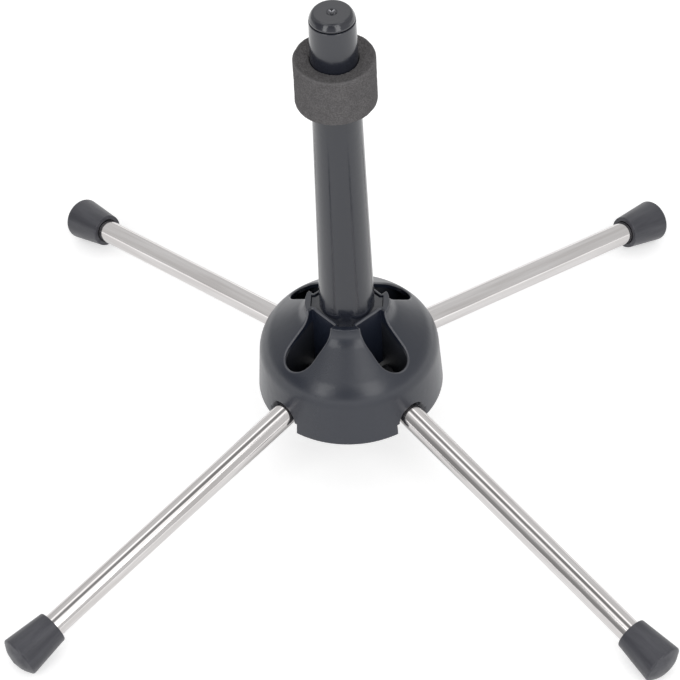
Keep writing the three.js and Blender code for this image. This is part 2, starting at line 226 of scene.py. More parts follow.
class Finish:
    """A node tree with one method that adds any node, and a few for the nodes that are used most."""

    def __init__(self, owner):
        owner.use_nodes = True
        self.owner, self.tree = owner, owner.node_tree
        self.tree.nodes.clear()

    def node(self, kind, settings=None, inputs=None):
        """Adds a node: its settings first, then its sockets' values or links."""
        node = self.tree.nodes.new(kind)
        for name, setting in (settings or {}).items():
            setattr(node, name, setting)
        for name, value in (inputs or {}).items():
            source = value.socket if isinstance(value, Value) else value
            if isinstance(source, bpy.types.NodeSocket):
                self.tree.links.new(source, node.inputs[name])
            else:
                node.inputs[name].default_value = source
        return node

    def out(self, node, name=0):
        """One output of a node, ready for arithmetic."""
        return Value(self, node.outputs[name])

    def object_place(self):
        """Object coordinates, in metres."""
        return self.node("ShaderNodeTexCoord").outputs["Object"]

    def own_place(self):
        """The piece's own coordinates, kept on its mesh, in metres."""
        return self.node("ShaderNodeAttribute", {"attribute_name": "own"}).outputs["Vector"]

    def painted_highlight(self):
        """How much painted highlight a point takes, from 0 to 1, where a piece keeps it as X of its own
        coordinates.
        """
        return self.out(self.node("ShaderNodeSeparateXYZ", inputs={0: self.own_place()}), "X")

    def stretched(self, place, scale):
        """Coordinates times a scale on each axis: a small scale draws a pattern out along its axis."""
        return self.node("ShaderNodeMapping", inputs={"Vector": place, "Scale": scale}).outputs[0]

    def noise(self, place, scale, detail=2.0, roughness=0.5):
        """Soft noise from 0 to 1, with features about one over the scale wide, in metres."""
        sockets = {"Vector": place, "Scale": scale, "Detail": detail, "Roughness": roughness}
        return self.out(self.node("ShaderNodeTexNoise", inputs=sockets), "Fac")

    def cells(self, place, scale):
        """Distance to the nearest of many scattered points."""
        node = self.node("ShaderNodeTexVoronoi", inputs={"Vector": place, "Scale": scale})
        return self.out(node, "Distance")

    def mixed(self, share, first, second):
        """Colour that goes from the first to the second as the share goes from 0 to 1."""
        first, second = [(*colour, 1) if isinstance(colour, tuple) else colour for colour in (first, second)]
        return self.node("ShaderNodeMix", {"data_type": "RGBA"}, {0: share, 6: first, 7: second}).outputs[2]

    def bumped(self, height, strength, distance, normal=None):
        """Normal tilted by the slope of a height, on top of another normal where one is given."""
        sockets = {"Height": height, "Strength": strength, "Distance": distance}
        if normal is not None:
            sockets["Normal"] = normal
        return self.node("ShaderNodeBump", inputs=sockets).outputs[0]

    def clamped(self, value, low, high, from_low=0.0, from_high=1.0):
        """Value carried in a straight line from one range to another, and held at its two ends."""
        sockets = {0: value, 1: from_low, 2: from_high, 3: low, 4: high}
        return self.out(self.node("ShaderNodeMapRange", {"clamp": True}, sockets))

    def surface(self, inputs):
        """Ends the tree with a Principled shader, and gives its material."""
        shader = self.node("ShaderNodeBsdfPrincipled", inputs=inputs)
        self.node("ShaderNodeOutputMaterial", inputs={"Surface": shader.outputs[0]})
        return self.owner


# Materials

def black_plastic(name, roughness, flow, deep, pale, painted_light=(0.085, 0.087, 0.098)):
    """Black moulded plastic: a faint orange peel, fine texture in the gloss, soft flow marks up the piece,
    and a paler colour painted in where a piece asks for it, as a painted highlight. The roughness is the
    given one plus a tenth of each noise's swing."""
    finish = Finish(bpy.data.materials.new(name))
    place = finish.object_place()
    peel = finish.noise(place, 420, 2)
    grain = finish.noise(place, 5200, 1)
    marks = finish.noise(finish.stretched(place, (1, 1, 0.12)), flow, 3)
    tint = finish.clamped(marks, 0, 1, 0.3, 0.7)
    rough = roughness + (marks - 0.5) * 0.10 + (grain - 0.5) * 0.10
    normal = finish.bumped(peel, 0.10, 0.0004)
    normal = finish.bumped(grain, 0.05, 0.0001, normal)
    return finish.surface({
        # The paler colour, mixed in by the painted highlight share, is a painted highlight and not wear.
        "Base Color": finish.mixed(finish.painted_highlight(), finish.mixed(tint, deep, pale), painted_light),
        "Roughness": rough, "IOR": 1.58, "Normal": normal,
    })


def matt_plastic():
    """Matt black plastic of the hinge ends: one fine grain in its colour, gloss and relief."""
    finish = Finish(bpy.data.materials.new("matt_plastic"))
    grain = finish.noise(finish.object_place(), 2600, 3)
    return finish.surface({
        "Base Color": finish.mixed(grain, (0.014, 0.015, 0.018), (0.024, 0.025, 0.029)),
        "Roughness": 0.42 + grain * 0.2, "IOR": 1.5, "Normal": finish.bumped(grain, 0.12, 0.0002),
    })


def foot_rubber():
    """Dark rubber: fairly matt, with a fine mould texture and slight bloom that runs along the foot."""
    finish = Finish(bpy.data.materials.new("foot_rubber"))
    place = finish.own_place()
    grain = finish.noise(place, 3400, 3)
    bloom = finish.clamped(finish.noise(finish.stretched(place, (0.1, 1, 1)), 340, 3), 0, 1, 0.36, 0.66)
    return finish.surface({
        "Base Color": finish.mixed(bloom, (0.021, 0.0215, 0.030), (0.047, 0.0475, 0.058)),
        "Roughness": 0.33 + grain * 0.12, "IOR": 1.55, "Normal": finish.bumped(grain, 0.16, 0.0002),
    })


def grey_foam():
    """Closed-cell foam: small pits between cells, darkened by painted shade, with warm and dark flecks, and a
    painted highlight along its upper outer edge.
    """
    finish = Finish(bpy.data.materials.new("grey_foam"))
    place = finish.object_place()
    cells = finish.cells(place, 1900)
    small = finish.noise(place, 3600, 3, 0.6)
    patches = finish.clamped(finish.noise(place, 420, 3), 0, 1, 0.35, 0.65)
    pit_painted_shade = finish.clamped(cells, 0, 1, 0.15, 0.75)
    warm = finish.mixed(patches, (0.118, 0.114, 0.118), (0.154, 0.149, 0.152))
    # Darker down in the pits between cells: painted shade, mixed with random dark flecks from the fine noise.
    colour = finish.mixed(pit_painted_shade * 0.6 + small * 0.35, warm, (0.066, 0.062, 0.062))
    # Painted highlight: paler along the foam's upper outer edge.
    colour = finish.mixed(finish.painted_highlight(), colour, (0.24, 0.235, 0.24))
    normal = finish.bumped(cells * -1.0, 0.55, 0.00025)
    normal = finish.bumped(small, 0.35, 0.00012, normal)
    return finish.surface({
        "Base Color": colour, "Roughness": 0.93, "IOR": 1.4, "Specular IOR Level": 0.35, "Normal": normal,
    })


def leg_steel():
    """Polished stainless tube: fine draw lines along it, in its gloss and as a slight relief, broader pale
    and dark streaks in its colour, and duller smears."""
    finish = Finish(bpy.data.materials.new("leg_steel"))
    place = finish.own_place()
    lines = finish.noise(finish.stretched(place, (0.02, 1, 1)), 2600, 2, 0.6)
    broad = finish.clamped(finish.noise(finish.stretched(place, (0.04, 1, 1)), 620, 3), 0, 1, 0.34, 0.66)
    smear = finish.noise(place, 160, 3)
    rough = 0.055 + lines * 0.06 + finish.clamped(smear, 0, 0.05, 0.45, 0.75)
    normal = finish.bumped(lines, 0.10, 0.00006)
    normal = finish.bumped(broad, 0.08, 0.0001, normal)
    return finish.surface({
        "Base Color": finish.mixed(broad, (0.545, 0.524, 0.516), (0.640, 0.622, 0.618)),
        "Metallic": 1.0, "Roughness": rough, "Normal": normal,
    })


def pin_steel():
    """Bright steel of the pins: one fine grain in its colour, gloss and relief."""
    finish = Finish(bpy.data.materials.new("pin_steel"))
    grain = finish.noise(finish.object_place(), 3000, 3)
    return finish.surface({
        "Base Color": finish.mixed(grain, (0.50, 0.50, 0.51), (0.60, 0.60, 0.61)),
        "Metallic": 1.0, "Roughness": 0.22 + grain * 0.16, "Normal": finish.bumped(grain, 0.08, 0.0001),
    })


# Tools for shapes

def line_up(*parts):
    """Single points and rows of points as one row."""
    return np.concatenate([np.atleast_2d(part) for part in parts])


def arc(centre, radius, start, end, steps):
    """Points centre + radius (cos t, sin t), for t from start to end."""
    turn = np.linspace(start, end, steps + 1)
    return np.stack([centre[0] + radius * np.cos(turn), centre[1] + radius * np.sin(turn)], -1)


def softened(corners, steps):
    """Polyline with rounded corners. Each corner is (x, y, radius): its arc is tangent to both sides, at
    radius tan(turn / 2) from the corner, and a guard point next to each end keeps the flats flat."""
    guard = 0.12
    points = np.array([corner[:2] for corner in corners], float)
    line = [points[0]]
    for index in range(1, len(corners) - 1):
        radius = corners[index][2] if len(corners[index]) > 2 else 0
        before, here, after = points[index - 1], points[index], points[index + 1]
        back, ahead = before - here, after - here
        room, space = np.linalg.norm(back), np.linalg.norm(ahead)
        back, ahead = back / room, ahead / space
        turn = math.pi - math.acos(np.clip(back @ ahead, -1, 1))
        if radius == 0 or turn < 1e-3:
            line.append(here)
            continue
        reach = radius * math.tan(turn / 2)
        inward = (back + ahead) / np.linalg.norm(back + ahead)
        centre = here + inward * radius / math.cos(turn / 2)
        first = here + back * reach - centre
        side = math.copysign(1, back[1] * ahead[0] - back[0] * ahead[1])
        turns = np.linspace(0, turn * side, steps + 1)
        cos, sin = np.cos(turns), np.sin(turns)
        bend = centre + np.stack([first[0] * cos - first[1] * sin, first[0] * sin + first[1] * cos], -1)
        if room > reach + 2 * guard:
            line.append(here + back * (reach + guard))
        line.extend(bend)
        if space > reach + 2 * guard:
            line.append(here + ahead * (reach + guard))
    line.append(points[-1])
    return np.array(line)


def turned(profile, around):
    """Surface of revolution on a grid: the profile's (r, h) at turn t is (r cos t, r sin t, h)."""
    turn = np.arange(around) * TAU / around
    radius, height = np.asarray(profile).T
    across = radius[:, None] * np.stack([np.cos(turn), np.sin(turn)])[:, None]
    return np.stack([across[0], across[1], np.repeat(height[:, None], around, 1)], -1)


def layered(rows):
    """Grid from pairs of an outline and its height."""
    return np.stack([np.column_stack([outline, np.full(len(outline), height)]) for outline, height in rows])


def grid_faces(rows, columns, ring=False):
    """Quads between neighbouring points of a grid whose columns, and rows too in a ring, join up."""
    row = np.arange(rows if ring else rows - 1)[:, None]
    column = np.arange(columns)[None]
    here, ahead = row * columns, (row + 1) % rows * columns
    beside = (column + 1) % columns
    corners = [here + column, here + beside, ahead + beside, ahead + column]
    return np.stack(np.broadcast_arrays(*corners), -1).reshape(-1, 4)


def wall(above, below):
    """Quads between two closed loops of as many points, given by their numbers."""
    return np.stack([above, np.roll(above, -1), np.roll(below, -1), below], -1).tolist()


def netted(flat, loops, inside):
    """Triangles over flat points, by Delaunay's rule, that keep the sides of closed loops of numbered points.
    They fill the hull of the points, or only the loops' inside."""
    joins = np.concatenate([np.stack([loop, np.roll(loop, -1)], -1) for loop in loops])
    _, _, triangles, origins, _, _ = delaunay_2d_cdt(flat.tolist(), joins.tolist(), [], int(inside), 1e-5)
    source = np.array([origin[0] for origin in origins])
    return source[np.array([face for face in triangles if len(face) == 3])]


def joined(parts):
    """Several closed shapes as one list of points and faces."""
    points, faces, start = [], [], 0
    for part_points, part_faces in parts:
        part_points = np.asarray(part_points).reshape(-1, 3)
        points.append(part_points)
        faces += [[corner + start for corner in face] for face in part_faces]
        start += len(part_points)
    return np.concatenate(points), faces


def spun(turn):
    """Matrix of a turn about Z, in degrees."""
    return Matrix.Rotation(math.radians(turn), 4, "Z")


def pin_matrix(turn):
    """Frame of one pin: X away from the mast, Y along the pin, Z up."""
    return spun(turn) @ Matrix.Translation((PIVOT_REACH, 0, PIVOT_HEIGHT))


def leg_matrix(turn):
    """Frame of one leg: the pin's, tipped so that X runs down along the tube."""
    return pin_matrix(turn) @ Matrix.Rotation(LEG_SLOPE, 4, "Y")


def placed(points, matrix):
    """Points turned by a matrix's first three columns and moved by its last."""
    m = np.array(matrix)
    return points @ m[:3, :3].T + m[:3, 3]


def lengthwise(points):
    """Turns a shape built up Z so that it runs along X."""
    return np.stack([points[..., 2], points[..., 1], -points[..., 0]], -1).reshape(-1, 3)


def crosswise(points):
    """Turns a shape built up Z so that it runs along Y."""
    return np.stack([points[..., 0], points[..., 2], -points[..., 1]], -1).reshape(-1, 3)


def as_own(painted_highlight):
    """Painted highlight share as X of own coordinates, divided by MM because a piece's own coordinates are
    then times MM.
    """
    return painted_highlight.reshape(-1, 1) * (1, 0, 0) / MM


def linked(made):
    """Puts an object into the scene."""
    bpy.context.scene.collection.objects.link(made)
    return made


def smoothed(mesh, sharp):
    """Smooth shading, with edges kept sharp where the faces turn by more than an angle in degrees."""
    mesh.shade_smooth()
    mesh.set_sharp_from_angle(angle=math.radians(sharp))


def piece(name, points, faces, material, own=None, sharp=35):
    """A mesh object at the origin from points in millimetres, closed, with its faces pointing out."""
    mesh = bpy.data.meshes.new(name)
    points = np.asarray(points, float).reshape(-1, 3)
    mesh.from_pydata((points * MM).tolist(), [], [list(face) for face in faces])
    if own is not None:
        layer = mesh.attributes.new("own", "FLOAT_VECTOR", "POINT")
        layer.data.foreach_set("vector", (np.asarray(own, float) * MM).ravel())
    shell = bmesh.new()
    shell.from_mesh(mesh)
    bmesh.ops.remove_doubles(shell, verts=shell.verts, dist=1e-7)
    bmesh.ops.recalc_face_normals(shell, faces=shell.faces)
    shell.to_mesh(mesh)
    shell.free()
    smoothed(mesh, sharp)
    mesh.materials.append(material)
    return linked(bpy.data.objects.new(name, mesh))


def settle(made, body, slot, *nodes):
    """Gives a piece its body and hides the nodes that it stands for. Its material slot is not used."""
    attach(made, body)
    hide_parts(*nodes)
    return made


# Shapes of the hub

def hub_profile():
    """Outer profile of the hub from the axis out and down to the rim: flat collar top, its soft edge, the
    neck's hollow flare, the sloping crown, the shoulder and the drafted side, each tangent to the next.
    Returns distance along it, radius, height, outward normal and the centre of the shoulder's arc."""
    normal = RIGHT - CROWN_SLOPE
    shoulder = (SIDE_TOP_RADIUS - SHOULDER_RADIUS * math.cos(SIDE_DRAFT),
                SIDE_HEIGHT - SHOULDER_RADIUS * math.sin(SIDE_DRAFT))
    crown = (shoulder[0] + SHOULDER_RADIUS * math.cos(normal),
             shoulder[1] + SHOULDER_RADIUS * math.sin(normal))
    foot = NECK_RADIUS + NECK_FLARE_RADIUS * (1 - math.cos(normal))
    flare_height = crown[1] + (crown[0] - foot) * math.tan(CROWN_SLOPE) + NECK_FLARE_RADIUS * math.sin(normal)
    flare = (NECK_RADIUS + NECK_FLARE_RADIUS, flare_height)
    collar_edge = (NECK_RADIUS - COLLAR_EDGE, HUB_HEIGHT - COLLAR_EDGE)
    line = line_up(
        (0, HUB_HEIGHT),
        arc(collar_edge, COLLAR_EDGE, RIGHT, 0, 24),
        arc(flare, NECK_FLARE_RADIUS, math.pi, math.pi + normal, 60),
        arc(shoulder, SHOULDER_RADIUS, normal, SIDE_DRAFT, 60),
        (RIM_RADIUS, 0),
    )
    step = np.diff(line, axis=0)
    length = np.linalg.norm(step, axis=1)
    along = np.concatenate([[0], np.cumsum(length)])
    facing = np.stack([-step[:, 1], step[:, 0]], -1) / length[:, None]
    middle = (along[1:] + along[:-1]) / 2
    facing_at = np.stack([np.interp(along, middle, part) for part in facing.T], -1)
    return along, line[:, 0], line[:, 1], facing_at, shoulder


ALONG, SKIN_RADIUS, SKIN_HEIGHT, SKIN_FACING, SHOULDER = hub_profile()
COLLAR_END = np.searchsorted(SKIN_RADIUS, NECK_RADIUS + 1e-6)
COLLAR_ALONG = ALONG[COLLAR_END - 1]
INNER_SHOULDER = SHOULDER_RADIUS - SHELL_WALL
INNER_CROWN = (SHOULDER[0] + INNER_SHOULDER * math.sin(CROWN_SLOPE),
               SHOULDER[1] + INNER_SHOULDER * math.cos(CROWN_SLOPE))
ROOF = INNER_CROWN[1] + (INNER_CROWN[0] - KEYWAY_REACH - KEYWAY_END_WALL) * math.tan(CROWN_SLOPE)


def radius_at(along):
    """Radius of the outer skin at a distance along the profile, between its points in a straight line."""
    return np.interp(along, ALONG, SKIN_RADIUS)


def height_at(along):
    """Height of the outer skin above the rim at a distance along the profile."""
    return np.interp(along, ALONG, SKIN_HEIGHT)


def along_at_radius(radius):
    """Distance along the skin at a radius: the flat top's inside the collar, the crown's outside it."""
    crown = np.interp(radius, SKIN_RADIUS[COLLAR_END - 1:], ALONG[COLLAR_END - 1:])
    return np.where(radius <= NECK_RADIUS - COLLAR_EDGE, radius, crown)


def along_at_height(height):
    """Distance along the skin at a height below the collar."""
    return np.interp(-height, -SKIN_HEIGHT[COLLAR_END:], ALONG[COLLAR_END:])


def underside(radius):
    """Height of the shell's underside at a radius: a flat roof round the socket, then the crown's and the
    shoulder's inner faces."""
    crown = INNER_CROWN[1] + (INNER_CROWN[0] - radius) * math.tan(CROWN_SLOPE)
    out = np.clip((radius - SHOULDER[0]) / INNER_SHOULDER, 0, 1)
    shoulder = SHOULDER[1] + INNER_SHOULDER * np.sqrt(1 - out ** 2)
    return np.minimum(np.where(radius < INNER_CROWN[0], crown, shoulder), ROOF)


def on_skin(along, turn, sink=0.0):
    """Point of the outer skin at a distance along the profile and a turn, sunk along the normal."""
    facing = np.stack([np.interp(along, ALONG, part) for part in SKIN_FACING.T])
    facing = facing / np.linalg.norm(facing, axis=0)
    radius = radius_at(along) - sink * facing[0]
    return np.stack([radius * np.cos(turn), radius * np.sin(turn), height_at(along) - sink * facing[1]], -1)


def under_skin(along, turn):
    """Point of the inner skin that belongs to a point of the outer one: straight below it under the crown,
    on the shoulder's inner arc at a tilt that follows the outer radius, and behind it on the side. By the
    neck it shifts outward a little, so that the points of the upright skin stay apart."""
    outer = radius_at(along)
    swing = np.clip((outer - INNER_BEND_START) / (SIDE_TOP_RADIUS - INNER_BEND_START), 0, 1)
    start = math.acos((INNER_BEND_START - SHOULDER[0]) / INNER_SHOULDER)
    tilt = start + (SIDE_DRAFT - start) * swing
    shift = np.interp(along, [COLLAR_ALONG - 0.7, COLLAR_ALONG + 1.5, COLLAR_ALONG + 4], [0, 0.05, 0])
    radius = outer + shift
    height = underside(radius)
    bend = outer > INNER_BEND_START
    radius = np.where(bend, SHOULDER[0] + INNER_SHOULDER * np.cos(tilt), radius)
    height = np.where(bend, SHOULDER[1] + INNER_SHOULDER * np.sin(tilt), height)
    side = along > along_at_height(SIDE_HEIGHT)
    radius = np.where(side, outer - SHELL_WALL, radius)
    height = np.where(side, np.minimum(height_at(along), height), height)
    return np.stack([radius * np.cos(turn), radius * np.sin(turn), height], -1)


def opening_loop(offset, turn):
    """One crown opening, set out by an offset: straight sides, a round outer end and a flat inner end with
    small round corners."""
    half = OPENING_HALF + offset
    first, centre = OPENING_START + OPENING_CORNER, OPENING_REACH - OPENING_HALF
    level = OPENING_HALF - OPENING_CORNER
    side = np.linspace(first, centre, 40)
    inner = np.linspace(level, -level, 17)[1:-1]
    corner = arc((first, level), OPENING_CORNER + offset, RIGHT, math.pi, 8)[1:]
    plan = line_up(
        np.stack([side, np.full_like(side, -half)], -1), arc((centre, 0), half, -RIGHT, RIGHT, 40)[1:-1],
        np.stack([side[::-1], np.full_like(side, half)], -1), corner,
        np.stack([np.full_like(inner, OPENING_START - offset), inner], -1), corner[::-1] * (1, -1))
    return along_at_radius(np.hypot(*plan.T)), np.arctan2(plan[:, 1], plan[:, 0]) + turn


def keyed_outline(reach, half, face):
    """A flat face towards each leg, at a distance from the axis, and a key along X and Y, of a reach and half
    width. The corners of the first quarter repeat round the axis, with points evenly spaced between them."""
    notch = math.sqrt(2) * face - half
    quarter = [(reach, -half), (reach, half), (notch, half), (half, notch)]
    turns = ((1, 0), (0, 1), (-1, 0), (0, -1))
    corners = np.array([(x * c - y * s, x * s + y * c) for c, s in turns for x, y in quarter])
    share = np.arange(OUTLINE_STEPS)[:, None] / OUTLINE_STEPS
    return np.concatenate([a + (b - a) * share for a, b in zip(corners, np.roll(corners, -1, 0))])


def keyed(offset):
    """Outline of the socket, set out by an offset."""
    return keyed_outline(KEYWAY_REACH + offset, KEYWAY_HALF + offset, SOCKET_FACE + offset)


def socket_loop(offset):
    """The socket's outline as distances and turns, for which its radius serves because the collar is flat."""
    outline = keyed(offset)
    return np.hypot(*outline.T), np.arctan2(outline[:, 1], outline[:, 0])


def rim_loop(offset):
    """The rim with a notch over each leg, set in by an offset: a wide mouth with an arch above it. One half,
    from between two legs to the top of an arch, is mirrored and repeated."""
    step = NOTCH_ARCH_HEIGHT + offset
    mouth = NOTCH_MOUTH_HALF + offset
    arch = NOTCH_ARCH_RADIUS + offset
    spring = math.asin(offset / arch)
    rim_turn = math.asin(mouth / radius_at(along_at_height(offset)))
    bend = np.linspace(math.pi - spring, RIGHT, 21)
    side = np.linspace(offset, step, 9)
    shelf = np.linspace(-mouth, -arch * math.cos(spring), 5)[1:-1]
    across = np.concatenate([np.full_like(side, -mouth), shelf, arch * np.cos(bend)])
    height = np.concatenate([side, np.full_like(shelf, step), NOTCH_ARCH_HEIGHT + arch * np.sin(bend)])
    swing = np.arcsin(across / radius_at(along_at_height(height)))
    sweep = np.linspace(-math.pi / 4, -rim_turn, 40)[:-1]
    half_turn = np.concatenate([sweep, swing])
    half_along = along_at_height(np.concatenate([np.full_like(sweep, offset), height]))
    turns = np.concatenate([half_turn, -half_turn[-2:0:-1]])
    along = np.concatenate([half_along, half_along[-2:0:-1]])
    places = [math.radians(place) for place in sorted(LEG_TURNS.values())]
    return np.concatenate([along] * 4), np.concatenate([turns + place for place in places])


def in_material(along, turn, spare):
    """True where the skin lies beyond the rolled edge of every opening, notch and outline, with some to
    spare. Each is a union of discs, boxes and strips, whose distance is compared with their size."""
    radius, height = radius_at(along), height_at(along)
    leg = (turn % RIGHT) - math.pi / 4
    reach, across = radius * np.cos(leg), np.abs(radius * np.sin(leg))
    margin = OPENING_EDGE + spare
    bend = np.hypot(reach - OPENING_REACH + OPENING_HALF, across) < OPENING_HALF + margin
    short = np.maximum(OPENING_START + OPENING_CORNER - reach, 0)
    wide = np.maximum(across - OPENING_HALF + OPENING_CORNER, 0)
    straight = (np.hypot(short, wide) < OPENING_CORNER + margin) & (reach < OPENING_REACH - OPENING_HALF)
    margin = SOCKET_EDGE + spare
    plan = np.abs(np.stack([radius * np.cos(turn), radius * np.sin(turn)]))
    faces = plan.sum(0) / math.sqrt(2) < SOCKET_FACE + margin
    keys = plan.min(0) < KEYWAY_HALF + margin
    socket = (plan.max(0) < KEYWAY_REACH + margin) & (faces | keys)
    margin = RIM_EDGE + spare
    arch = np.hypot(across, height - NOTCH_ARCH_HEIGHT) < NOTCH_ARCH_RADIUS + margin
    mouth = (across < NOTCH_MOUTH_HALF + margin) & (height < NOTCH_ARCH_HEIGHT + margin)
    notch = (arch | mouth) & (along > along_at_height(SIDE_HEIGHT))
    return ~(bend | straight | socket | notch | (height < margin))


def shell_pattern(outlines):
    """Flat pattern of the hub's skin, in which a point lies at its distance along the profile and its turn:
    the outlines at the start of their rolled edges, staggered rings of points between them, closer by the
    collar's edge, and triangles in the material. Returns distances, turns, triangles and outlines' loops."""
    along, turn, loops, count = [], [], [], 0
    for outline, edge in outlines:
        outline_along, outline_turn = outline(edge)
        loops.append(np.arange(len(outline_along)) + count)
        along.append(outline_along)
        turn.append(outline_turn)
        count += len(outline_along)
    near, past = COLLAR_ALONG - 1.0, COLLAR_ALONG + 0.3
    # Points keep clear of the edges, and a slim triangle along a bend may lie a hair over one
    clear, slack = 0.3, 0.012
    rings = np.concatenate([
        np.arange(PATTERN_START, near, RING_STEP), np.linspace(near, past, 12)[:-1],
        np.linspace(past, ALONG[-1] - RIM_EDGE - 0.4, 76),
    ])
    for order, ring in enumerate(rings):
        number = 8 * max(8, round(TAU * radius_at(ring) / POINT_STEP / 8))
        turns = (np.arange(number) + 0.5 * (order % 2)) * TAU / number
        keep = in_material(np.full(number, ring), turns, clear)
        along.append(np.full(keep.sum(), ring))
        turn.append(turns[keep])
    along, turn = np.concatenate(along), np.concatenate(turn)
    flat = np.stack([along * np.cos(turn), along * np.sin(turn)], -1)
    triangles = netted(flat, loops, inside=False)
    centre = flat[triangles].mean(1)
    keep = in_material(np.hypot(*centre.T), np.arctan2(centre[:, 1], centre[:, 0]), -slack)
    return along, turn, triangles[keep], loops


def hub_shell():
    """The hub's shell: outer and inner skins over one flat pattern, and walls with rolled edges along each
    outline. An edge rolls over as a quarter circle: at turn p the outline is set out by R (1 - sin p) and
    sunk by R (1 - cos p). Its painted highlight, a paler colour in place of the glint on the rolled edge,
    rises as sin 2p up to the middle of the roll, and then stays."""
    outlines = [(socket_loop, SOCKET_EDGE), (rim_loop, RIM_EDGE)]
    for place in LEG_TURNS.values():
        outlines.append((lambda offset, place=place: opening_loop(offset, math.radians(place)), OPENING_EDGE))
    along, turn, triangles, loops = shell_pattern(outlines)
    total = len(along)
    points = [on_skin(along, turn), under_skin(along, turn)]
    highlight_share = [np.zeros(2 * total)]
    faces = triangles.tolist() + (triangles[:, ::-1] + total).tolist()
    made = 2 * total
    for (outline, edge), loop in zip(outlines, loops):
        rows, painted_highlight = [], []
        for roll in np.linspace(0, RIGHT, EDGE_STEPS + 1)[1:]:
            rows.append(on_skin(*outline(edge * (1 - math.sin(roll))), edge * (1 - math.cos(roll))))
            # Painted highlight: the rolled edge takes a paler colour in place of the glint that it catches.
            painted_highlight.append(EDGE_HIGHLIGHT * math.sin(2 * min(roll, RIGHT / 2)))
        if outline is rim_loop:
            low = rows[-1].copy()
            depth = SHELL_WALL + NOTCH_DEPTH * np.clip((low[:, 2] - 1) / 2, 0, 1)
            low[:, :2] *= (1 - depth / np.hypot(*low[:, :2].T))[:, None]
        else:
            rows.append(rows[-1] - (0, 0, LIP_HEIGHT))
            low = rows[-1].copy()
            low[:, 2] = underside(np.hypot(*low[:, :2].T))
        rows.append(low)
        painted_highlight += [0] * (len(rows) - EDGE_STEPS)
        points += rows
        highlight_share.append(np.repeat(painted_highlight, len(loop)))
        numbers = [loop] + [np.arange(len(loop)) + made + len(loop) * row for row in range(len(rows))]
        numbers.append(loop + total)
        made += len(loop) * len(rows)
        for above, below in zip(numbers, numbers[1:]):
            faces += wall(above, below)
    return np.concatenate(points) + (0, 0, HUB_RIM), faces, as_own(np.concatenate(highlight_share))


def socket_cup():
    """The socket's keyed wall and floor, below the collar: outlines from the middle of its underside out, up
    the outside, down the inside and back to the middle of its floor."""
    inset = 0.02
    outer = keyed_outline(
        KEYWAY_REACH + KEYWAY_END_WALL - inset, KEYWAY_HALF + KEYWAY_SIDE_WALL - inset,
        SOCKET_FACE + FACE_WALL - inset)
    inner = keyed(inset)
    bottom, top, floor = SOCKET_FLOOR_TOP - SOCKET_FLOOR, HUB_HEIGHT - CUP_BELOW_COLLAR, SOCKET_FLOOR_TOP
    rows = [(outer * 0, bottom), (outer, bottom), (outer, top),
            (inner, top), (inner, floor), (inner * 0, floor)]
    return layered(rows) + (0, 0, HUB_RIM), grid_faces(len(rows), len(outer))


def web_plate(side):
    """One web, beside the leg's slot: an outline of reach and height with a lug round the pin's hole, whose
    top runs within the thickness of the shell, at sqrt(radius^2 - middle^2) from the axis."""
    pivot = (PIVOT_REACH, PIVOT_ABOVE_RIM)
    lug = arc(pivot, LUG_RADIUS, math.pi, 1.5 * math.pi, 16)
    along = np.linspace(ALONG[-1] - WEB_BOTTOM, along_at_radius(WEB_TOP_START), 60)
    middle = on_skin(along, 0 * along, SHELL_WALL / 2)
    reach = np.sqrt(middle[:, 0] ** 2 - WEB_MIDDLE ** 2)
    top = np.column_stack([reach, np.minimum(middle[:, 2], ROOF + 1)])
    overlap = 0.2
    inner = SOCKET_FACE + FACE_WALL - overlap
    floor = SOCKET_FLOOR_TOP - SOCKET_FLOOR + overlap / 2
    outline = line_up(lug[lug[:, 0] > PIVOT_REACH - 2], top, (inner, top[-1, 1]), (inner, floor),
                      (WEB_START, floor), (WEB_START, WEB_BOTTOM))
    hole = arc(pivot, PIN_HOLE_RADIUS, 0, TAU, 48)[:-1]
    flat = np.concatenate([outline, hole])
    loops = np.arange(len(outline)), np.arange(len(hole)) + len(outline)
    triangles = netted(flat, loops, inside=True)
    triangles = triangles[np.hypot(*(flat[triangles].mean(1) - pivot).T) > PIN_HOLE_RADIUS]
    total = len(flat)
    sides = side * (OPENING_HALF + 0.02), side * WEB_OUTER_FACE
    points = np.concatenate([np.column_stack([flat[:, 0], np.full(total, y), flat[:, 1]]) for y in sides])
    walls = [face for loop in loops for face in wall(loop, loop + total)]
    return points, triangles.tolist() + (triangles[:, ::-1] + total).tolist() + walls


def bridge_block():
    """The bridge between the webs over the tube: flat on top, and hollowed below to an arch that falls with
    the leg."""
    half = OPENING_HALF + 0.5
    bend = np.linspace(math.pi, 0, 25)
    y = np.concatenate([[-half, -LEG_GAP], LEG_GAP * np.cos(bend), [LEG_GAP, half]])
    rise = LEG_GAP * np.sin(bend)
    count = len(y)
    rows = []
    for reach in (BRIDGE_START, RIM_RADIUS - SHELL_WALL - NOTCH_DEPTH):
        spring = PIVOT_ABOVE_RIM - (reach - PIVOT_REACH) * math.tan(LEG_SLOPE)
        low = np.concatenate([[WEB_BOTTOM] * 2, spring + rise, [WEB_BOTTOM] * 2])
        bottom = np.column_stack([np.full(count, reach), y, low])
        top = np.column_stack([np.full(count, reach), y[::-1], np.full(count, BRIDGE_TOP)])
        rows.append(np.concatenate([bottom, top]))
    last = 2 * count - 1
    near = [(a, last - a, last - 1 - a, a + 1) for a in range(count - 1)]
    far = [tuple(corner + last + 1 for corner in face[::-1]) for face in near]
    return np.concatenate(rows), grid_faces(2, last + 1).tolist() + near + far


def leg_bracket(turn):
    """Both webs and the bridge of one leg, turned to the leg."""
    points, faces = joined([web_plate(1), web_plate(-1), bridge_block()])
    return placed(points, spun(turn) @ Matrix.Translation((0, 0, HUB_RIM))), faces


# Shapes of the mast

